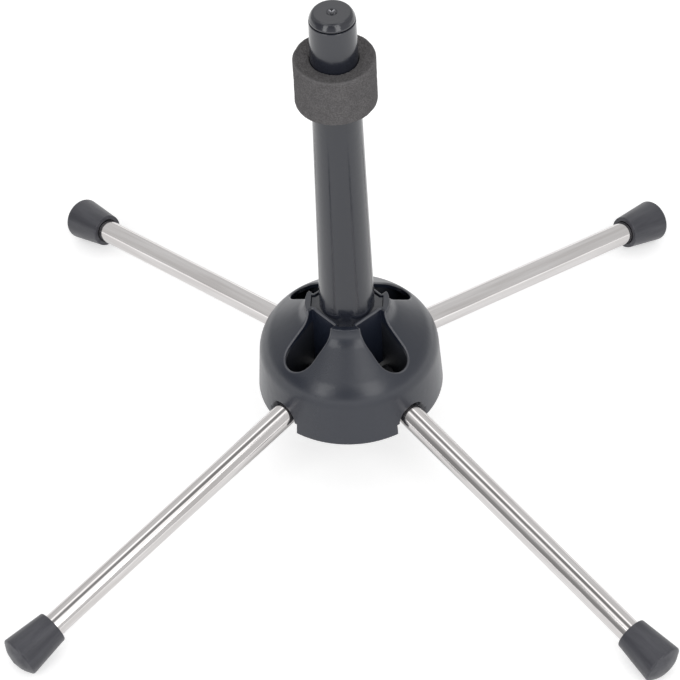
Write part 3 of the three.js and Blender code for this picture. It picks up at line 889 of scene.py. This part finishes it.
def mast_foot():
    """Keyed plug with soft edges, below a round spigot with a bore: rings of points from the bore's lower
    edge round the outside and back down the bore."""
    height = HUB_RIM + HUB_HEIGHT - PLUG_BELOW_COLLAR - MAST_FOOT_BOTTOM
    top = MAST_FOOT_TOP - MAST_FOOT_BOTTOM
    turn = np.arctan2(*keyed(-PLUG_PLAY).T[::-1])
    circle = np.stack([np.cos(turn), np.sin(turn)], -1)
    spigot = MAST_BOTTOM_RADIUS - MAST_WALL - MAST_SPIGOT_PLAY
    bore = spigot - MAST_SPIGOT_WALL
    rows = [(bore * circle, PLUG_EDGE), ((bore + PLUG_EDGE) * circle, 0)]
    edge = ((PLUG_EDGE, 0), (0.3 * PLUG_EDGE, 0.3 * PLUG_EDGE), (0, PLUG_EDGE))
    rows += [(keyed(-PLUG_PLAY - inset), level) for inset, level in edge]
    rows += [(keyed(-PLUG_PLAY - inset), height - level) for inset, level in edge[::-1]]
    rows += [(spigot * circle, height), (spigot * circle, top - MAST_SPIGOT_EDGE),
             ((spigot - MAST_SPIGOT_EDGE) * circle, top), (bore * circle, top)]
    return layered(rows) + (0, 0, MAST_FOOT_BOTTOM), grid_faces(len(rows), len(turn), ring=True)


def mast_pole():
    """Closed profile of the mast's tapered tube, from the middle of its bore down, round and back."""
    length = MAST_TOP - POLE_TOP_DROP - MAST_BOTTOM
    bore = MAST_BOTTOM_RADIUS - MAST_WALL
    profile = softened([
        (bore, length / 2), (bore, -POLE_BOTTOM_DROP), (MAST_BOTTOM_RADIUS, -POLE_BOTTOM_DROP),
        (MAST_TOP_RADIUS, length, 0.25), (MAST_TOP_RADIUS - MAST_WALL, length, 0.2), (bore, length / 2)], 5)
    profile[0, 0] = (MAST_BOTTOM_RADIUS + MAST_TOP_RADIUS) / 2 - MAST_WALL
    return profile[:-1] + (0, MAST_BOTTOM)


def cap_grid():
    """The cap: a turned plug with a sloped edge over a groove, on a stem. Its flat top has a shallow dish
    with the moulding gate's mark, two ridges in a V and four pits: each adds its height times
    exp(-(across / width)^2) between two distances out, and ends in soft steps. The ridges carry a painted
    highlight: a pale colour in place of the glints that they catch."""
    base = MAST_TOP - POLE_TOP_DROP + 0.02
    flat_rows, around = 46, 128
    middle = (CAP_RIM_RADIUS + CAP_FLAT_RADIUS) / 2 + 0.1, (CAP_EDGE + CAP_HEIGHT) / 2 + 0.1
    side = softened([
        (0, 0), (CAP_STEM_BORE, 0), (CAP_STEM_BORE, -CAP_STEM, 0.2), (CAP_STEM_RADIUS, -CAP_STEM, 0.3),
        (CAP_STEM_RADIUS, 0), (CAP_GROOVE_RADIUS, 0), (CAP_GROOVE_RADIUS, CAP_GROOVE),
        (CAP_RIM_RADIUS, CAP_GROOVE, 0.06), (CAP_RIM_RADIUS, CAP_EDGE, 0.3), (*middle, 3),
        (CAP_FLAT_RADIUS, CAP_HEIGHT, 1.2), (CAP_FLAT_RADIUS - 0.9, CAP_HEIGHT)], 6)
    flat = np.stack([np.linspace(CAP_FLAT_RADIUS - 1, 0, flat_rows), np.full(flat_rows, CAP_HEIGHT)], -1)
    profile = line_up(side, flat)
    grid = turned(profile, around)
    top = slice(len(profile) - flat_rows, len(profile))
    radius = np.hypot(grid[top, :, 0], grid[top, :, 1])
    turn = np.arctan2(grid[top, :, 1], grid[top, :, 0])

    def step(distance):
        """A soft step down from 1 to 0: 1 / (1 + exp(distance / blur))."""
        return 1 / (1 + np.exp(distance / GATE_BLUR))

    mark = -GATE_DISH * step(radius - GATE_DISH_RADIUS)
    painted_light = np.zeros(grid.shape[:2])
    for place, height, wide, near, far in GATE_MARK:
        out, across = radius * np.cos(turn - place), radius * np.sin(turn - place)
        shape = np.exp(-(across / wide) ** 2) * step(near - out) * step(out - far)
        mark += height * shape
        # Painted highlight on the raised ridges.
        painted_light[top] += shape * (height > 0)
    grid[top, :, 2] += mark
    return grid + (0, 0, base), grid_faces(len(profile), around), as_own(painted_light)


def foam_grid():
    """The foam ring: a section with soft edges, carried round the mast. Its skin moves towards the
    section's middle by a sum of slow waves and small seeded lumps. Its upper outer edge is painted paler, a
    painted highlight, by exp(-(distance / blur)^2) from a point just inside the corner. Returns points, faces
    and highlight."""
    bore, outer, edge = FOAM_BORE_TOP, FOAM_RADIUS, FOAM_EDGE
    height = FOAM_TOP - FOAM_BOTTOM
    section = softened([
        ((bore + outer) / 2, 0), (outer, 0.0, edge), (outer, height / 2), (outer, height + FOAM_RISE, edge),
        (bore, height - FOAM_DISH, 0.4), (FOAM_BORE_BOTTOM, 0, 0.5), ((bore + outer) / 2, 0)], 8)[:-1]
    fine = []
    for here, after in zip(section, np.roll(section, -1, 0)):
        steps = max(1, int(np.linalg.norm(after - here) / FOAM_STEP))
        fine.append(here + (after - here) * (np.arange(steps) / steps)[:, None])
    section = np.concatenate(fine)
    around = 224
    grid = turned(section, around)
    turn = np.arange(around) * TAU / around
    draw = np.random.default_rng(7)
    centre = np.array([(bore + outer) / 2, height / 2])
    out = section - centre
    out = out / np.linalg.norm(out, axis=1)[:, None]
    wave = 0.06 * np.sin(2 * turn + 0.4) + 0.05 * np.sin(3 * turn + 1.9)
    lumps = draw.normal(size=(len(section), around))
    spread = 2
    for axis in (0, 1):
        smooth = lumps.copy()
        for shift in range(1, spread + 1):
            smooth += np.roll(lumps, shift, axis) + np.roll(lumps, -shift, axis)
        lumps = smooth / (2 * spread + 1)
    lumps = FOAM_LUMP * lumps / lumps.std()
    push = np.clip(wave[None] + lumps - 0.1, -0.3, 0.0)
    radial = np.stack([np.cos(turn), np.sin(turn)], -1)
    grid[..., :2] += (out[:, 0, None] * push)[..., None] * radial[None]
    grid[..., 2] += out[:, 1, None] * push
    inside, blur = 0.2, 0.4
    corner = np.hypot(section[:, 0] - outer + inside, section[:, 1] - height - FOAM_RISE + inside)
    # Painted highlight along the upper outer edge.
    painted_light = np.repeat(FOAM_HIGHLIGHT * np.exp(-(corner / blur) ** 2), around)
    return grid + (0, 0, FOAM_BOTTOM), grid_faces(len(section), around, ring=True), as_own(painted_light)


# Shapes of the legs

def tube_profile():
    """Closed profile of a leg's tube, from the middle of its bore to its inner end, out and back."""
    bore, middle = TUBE_RADIUS - TUBE_WALL, (TUBE_START + TUBE_END) / 2
    return softened([
        (bore, middle), (bore, TUBE_START, 0.1), (TUBE_RADIUS, TUBE_START, 0.3), (TUBE_RADIUS, TUBE_END, 0.2),
        (bore, TUBE_END, 0.1), (bore, middle)], 4)[:-1]


def foot_profile():
    """Profile of a rubber foot, from the bottom of its bore out round its mouth to the tip of its dome."""
    return softened([
        (0, FOOT_BORE_END), (FOOT_BORE_RADIUS, FOOT_BORE_END, 0.3), (FOOT_BORE_RADIUS, FOOT_MOUTH, 0.25),
        (FOOT_MOUTH_RADIUS, FOOT_MOUTH, 0.45), (FOOT_RADIUS, FOOT_TIP - FOOT_DOME, FOOT_EDGE),
        (FOOT_DOME_HALF, FOOT_TIP - FOOT_DOME / 3, FOOT_DOME_BEND), (0, FOOT_TIP)], 8)


def pin_profile():
    """Profile of a pin from end to end, with a head on each."""
    neck = WEB_OUTER_FACE + PIN_PLAY
    end = neck + PIN_HEAD
    return softened([
        (0, -end), (PIN_HEAD_RADIUS, -end, 0.6), (PIN_HEAD_RADIUS, -neck, 0.1), (PIN_RADIUS, -neck),
        (PIN_RADIUS, neck), (PIN_HEAD_RADIUS, neck, 0.1), (PIN_HEAD_RADIUS, end, 0.6), (0, end)], 5)


def hinge_end(turn):
    """Eye and shank: at each distance along the leg the section is the union of the tube's circle and the
    eye's rectangle, by the larger polar radius. The spigot follows as circles."""
    around = 128
    angle = (np.arange(around) + 0.5) * TAU / around
    cos, sin = np.cos(angle), np.sin(angle)

    def ring(radius, reach):
        """Section (reach, radius cos t, radius sin t) across the leg."""
        return np.stack([np.full(around, reach), radius * cos, radius * sin], -1)

    quarter = np.linspace(0, RIGHT, 25)
    eye = np.concatenate([-TUBE_RADIUS * np.cos(quarter) * 0.9999, TUBE_RADIUS * np.sin(quarter)[1:-1]])
    rows = []
    for reach in eye:
        tall = math.sqrt(TUBE_RADIUS ** 2 - reach ** 2)
        block = np.minimum(EYE_HALF / np.abs(cos), tall / np.abs(sin))
        rows.append(ring(block if reach < 0 else np.maximum(block, TUBE_RADIUS), reach))
    shank = softened([
        (TUBE_RADIUS, TUBE_RADIUS), (TUBE_RADIUS, SHANK_END, 0.3), (SPIGOT_RADIUS, SHANK_END),
        (SPIGOT_RADIUS, SPIGOT_END, 0.5), (0, SPIGOT_END)], 4)
    rows += [ring(radius, reach) for radius, reach in shank]
    first = rows[0].mean(0) + 0 * rows[0]
    grid = np.stack([first, *rows])
    return placed(grid.reshape(-1, 3), leg_matrix(turn)), grid_faces(len(grid), around)


def bored(made, radius, half_length, matrix):
    """Cuts a round hole along Y of a frame through a piece."""
    around = 48
    profile = [(0, -half_length), (radius, -half_length), (radius, half_length), (0, half_length)]
    points, faces = placed(crosswise(turned(profile, around)), matrix), grid_faces(len(profile), around)
    drill = piece(made.name + "_drill", points, faces, made.data.materials[0])
    cut = made.modifiers.new("hole", "BOOLEAN")
    cut.operation, cut.solver, cut.object = "DIFFERENCE", "EXACT", drill
    graph = bpy.context.evaluated_depsgraph_get()
    mesh = bpy.data.meshes.new_from_object(made.evaluated_get(graph))
    made.modifiers.clear()
    made.data = mesh
    smoothed(mesh, 35)
    bpy.data.objects.remove(drill)


# Stage

def aimed(right, up, back, place):
    """Matrix that turns X, Y and Z to three directions and moves the origin to a place."""
    return Matrix([*np.stack([right, up, back, place], 1).tolist(), (0, 0, 0, 1)])


def direction(azimuth, elevation):
    """Unit vector (sin a cos e, -cos a cos e, sin e). Azimuth 0 is in front, on -Y, and grows towards +X."""
    a, e = math.radians(azimuth), math.radians(elevation)
    return math.sin(a) * math.cos(e), -math.cos(a) * math.cos(e), math.sin(e)


def make_camera():
    """The photo's camera: turned about Z and raised round its target, then rolled about its line of sight."""
    data = bpy.data.cameras.new("camera")
    data.sensor_width, data.lens = SENSOR_WIDTH, LENS
    data.clip_start, data.clip_end = 0.05, 20
    camera = linked(bpy.data.objects.new("camera", data))
    bpy.context.scene.camera = camera
    spin = np.array(Matrix.Rotation(CAMERA_TURN, 3, "Z"))
    back = spin @ (0, -math.cos(CAMERA_RISE), math.sin(CAMERA_RISE))
    right = spin @ (1, 0, 0)
    up = spin @ (0, math.sin(CAMERA_RISE), math.cos(CAMERA_RISE))
    roll_right = math.cos(CAMERA_ROLL) * right - math.sin(CAMERA_ROLL) * up
    roll_up = math.sin(CAMERA_ROLL) * right + math.cos(CAMERA_ROLL) * up
    eye = (np.array(CAMERA_TARGET) + back * CAMERA_DISTANCE) * MM
    camera.matrix_world = aimed(roll_right, roll_up, back, eye)


def lamp(name, azimuth, elevation, distance, width, height, radiance):
    """A soft box that faces the stand. Its power is its radiance times pi times its area."""
    data = bpy.data.lights.new(name, "AREA")
    data.shape, data.size, data.size_y = "RECTANGLE", width, height
    data.energy = radiance * math.pi * width * height
    way = np.array(direction(azimuth, elevation))
    right = np.array([math.cos(math.radians(azimuth)), math.sin(math.radians(azimuth)), 0])
    aim_height = 0.06
    place = way * distance + (0, 0, aim_height)
    linked(bpy.data.objects.new(name, data)).matrix_world = aimed(right, np.cross(way, right), way, place)


def make_floor():
    """Pale floor. To the camera it is close to white and keeps the soft shadow, and from below it lets the
    view through. In reflections it glows a little from just outside the hub, and more far out; under the
    hub the glow is left out, as a painted shadow in reflections."""
    camera_glow, near_glow, far_glow = 0.42, 0.36, 0.45
    finish = Finish(bpy.data.materials.new("floor"))
    path = finish.node("ShaderNodeLightPath")
    camera = finish.out(path, "Is Camera Ray")
    length = finish.node("ShaderNodeVectorMath", {"operation": "LENGTH"}, {0: finish.object_place()})
    # Painted shadow in reflections: the near glow is left out within 30 mm of the axis, and fades in by 50
    # mm.
    near = finish.clamped(finish.out(length, "Value"), 0, 1, 0.030, 0.050)
    far = finish.clamped(finish.out(length, "Value"), 0, 1, 0.20, 0.30)
    glossy = finish.out(path, "Is Glossy Ray") * (near * near_glow + far * far_glow)
    below = finish.out(finish.node("ShaderNodeNewGeometry"), "Backfacing") * camera
    white = finish.node("ShaderNodeBsdfDiffuse", inputs={"Color": (0.86, 0.86, 0.86, 1)})
    sockets = {"Color": (1, 1, 1, 1), "Strength": camera * camera_glow + glossy}
    glow = finish.node("ShaderNodeEmission", inputs=sockets)
    both = finish.node("ShaderNodeAddShader", inputs={0: white.outputs[0], 1: glow.outputs[0]})
    clear = finish.node("ShaderNodeBsdfTransparent")
    mixed = finish.node("ShaderNodeMixShader", inputs={0: below, 1: both.outputs[0], 2: clear.outputs[0]})
    finish.node("ShaderNodeOutputMaterial", inputs={"Surface": mixed.outputs[0]})
    mesh = bpy.data.meshes.new("floor")
    half = 6
    corners = [(-half, -half, 0), (half, -half, 0), (half, half, 0), (-half, half, 0)]
    mesh.from_pydata(corners, [], [(0, 1, 2, 3)])
    mesh.materials.append(finish.owner)
    linked(bpy.data.objects.new("floor", mesh))


def make_world():
    """A white studio: an even soft light, and in reflections four ceiling lights round a dark zenith, a
    bright patch high behind the stand, and darker patches at the left and in front. The camera sees plain
    white. A mask rises in a straight line with height, or with the cosine of the angle from a middle."""
    room, plain = 0.85, 0.72
    ring_glow, back_glow, left_dark, front_dark, zenith_dark = 0.95, 0.45, 0.48, 0.42, 0.50
    world = bpy.data.worlds.new("studio")
    bpy.context.scene.world = world
    finish = Finish(world)
    way = finish.node("ShaderNodeTexCoord").outputs["Generated"]
    parts = finish.node("ShaderNodeSeparateXYZ", inputs={0: way})
    up = finish.out(parts, "Z")
    product = (finish.out(parts, "X") * finish.out(parts, "Y")).math("ABSOLUTE")
    corner = finish.clamped(product, 0, 1, 0.012, 0.045)
    ring = finish.clamped(up, 0, 1, 0.85, 0.885) * finish.clamped(up, 1, 0, 0.958, 0.978) * corner
    zenith = finish.clamped(up, 0, 1, 0.972, 0.988)

    def patch(azimuth, elevation, outer, inner):
        """Mask that is 1 within an inner angle of a direction and 0 beyond an outer one, in degrees."""
        sockets = {0: way, 1: direction(azimuth, elevation)}
        towards = finish.node("ShaderNodeVectorMath", {"operation": "DOT_PRODUCT"}, sockets)
        outer, inner = math.cos(math.radians(outer)), math.cos(math.radians(inner))
        return finish.clamped(finish.out(towards, "Value"), 0, 1, outer, inner)

    dark = patch(-66, 16, 32, 14) * left_dark + patch(0, 32, 34, 14) * front_dark
    shown = room + ring * ring_glow + patch(180, 45, 22, 10) * back_glow - dark - zenith * zenith_dark
    path = finish.node("ShaderNodeLightPath")
    level = plain + (shown - plain) * finish.out(path, "Is Glossy Ray")
    level = level + (1.0 - level) * finish.out(path, "Is Camera Ray")
    back = finish.node("ShaderNodeBackground", inputs={"Color": (1, 1, 1, 1), "Strength": level})
    finish.node("ShaderNodeOutputWorld", inputs={"Surface": back.outputs[0]})


# The scene

make_camera()
make_floor()
make_world()
lamp("soft_box_left", -31, 28, 1.2, 0.36, 1.0, 2.5)
lamp("soft_box_right", 30, 31, 1.2, 0.44, 1.15, 2.5)

# A darker and rougher copy of the hub's plastic for the webs inside the hub: its darker colour is painted
# shade.
HUB_SHADED_PLASTIC = black_plastic(
    "hub_plastic_painted_shade", 0.62, 90, (0.0060, 0.0080, 0.0140), (0.0080, 0.0100, 0.0165))
HUB_PLASTIC = black_plastic(
    "hub_plastic", 0.30, 90, (0.0088, 0.0120, 0.0222), (0.0116, 0.0148, 0.0254))
MAST_PLASTIC = black_plastic(
    "mast_plastic", 0.17, 220, (0.0135, 0.0155, 0.0230), (0.0160, 0.0180, 0.0256))
# A lighter copy of the mast's plastic for the cap: painted light. Its pale third colour is the painted
# highlight on the cap's ridges.
CAP_PAINTED_LIGHT_PLASTIC = black_plastic(
    "cap_plastic_painted_light", 0.12, 160, (0.0165, 0.0180, 0.0250), (0.0200, 0.0215, 0.0290), (0.45, 0.45, 0.48))
HINGE_PLASTIC = matt_plastic()
RUBBER = foot_rubber()
FOAM = grey_foam()
STEEL = leg_steel()
PIN_STEEL = pin_steel()

points, faces, highlight_share = hub_shell()
settle(piece("hub_shell", points, faces, HUB_PLASTIC, highlight_share), "hub", "hub_plastic", "hub")
settle(piece("hub_socket", *socket_cup(), HUB_PLASTIC), "hub", "hub_plastic", "hub")
settle(piece("hub_webs", *joined([leg_bracket(turn) for turn in LEG_TURNS.values()]), HUB_SHADED_PLASTIC),
       "hub", "hub_plastic", "hub")

settle(piece("mast_plug", *mast_foot(), MAST_PLASTIC), "mast", "mast_plastic", "mast_foot")
pole = mast_pole()
settle(piece("mast_pole", turned(pole, 160), grid_faces(len(pole), 160, ring=True), MAST_PLASTIC),
       "mast", "mast_plastic", "mast_tube")
points, faces, highlight_share = cap_grid()
settle(piece("mast_top_cap", points, faces, CAP_PAINTED_LIGHT_PLASTIC, highlight_share, sharp=60), "mast", "mast_plastic", "mast_cap")
points, faces, highlight_share = foam_grid()
foam = settle(piece("foam_cushion", points, faces, FOAM, highlight_share, sharp=80), "mast", "foam", "foam_ring")

tube, foot, pin = tube_profile(), foot_profile(), pin_profile()
for place, turn in LEG_TURNS.items():
    matrix, body = leg_matrix(turn), f"leg_{place}"
    local = lengthwise(turned(tube, 96))
    faces = grid_faces(len(tube), 96, ring=True)
    settle(piece(f"tube_{place}", placed(local, matrix), faces, STEEL, local),
           body, "leg_steel", f"leg_tube_{place}")
    local = lengthwise(turned(foot, 112))
    points = placed(local, matrix)
    points[:, 2] = np.maximum(points[:, 2], 0)
    settle(piece(f"foot_{place}", points, grid_faces(len(foot), 112), RUBBER, local),
           body, "foot_rubber", f"rubber_foot_{place}")
    eye = piece(f"eye_{place}", *hinge_end(turn), HINGE_PLASTIC)
    bored(eye, PIN_HOLE_RADIUS, 6, matrix)
    settle(eye, body, "hinge_plastic", f"leg_hinge_end_{place}")
    points = placed(crosswise(turned(pin, 48)), pin_matrix(turn))
    settle(piece(f"pin_{place}", points, grid_faces(len(pin), 48), PIN_STEEL),
           "hub", "pin_steel", f"pivot_pin_{place}")

bpy.context.scene.view_settings.view_transform = "Standard"
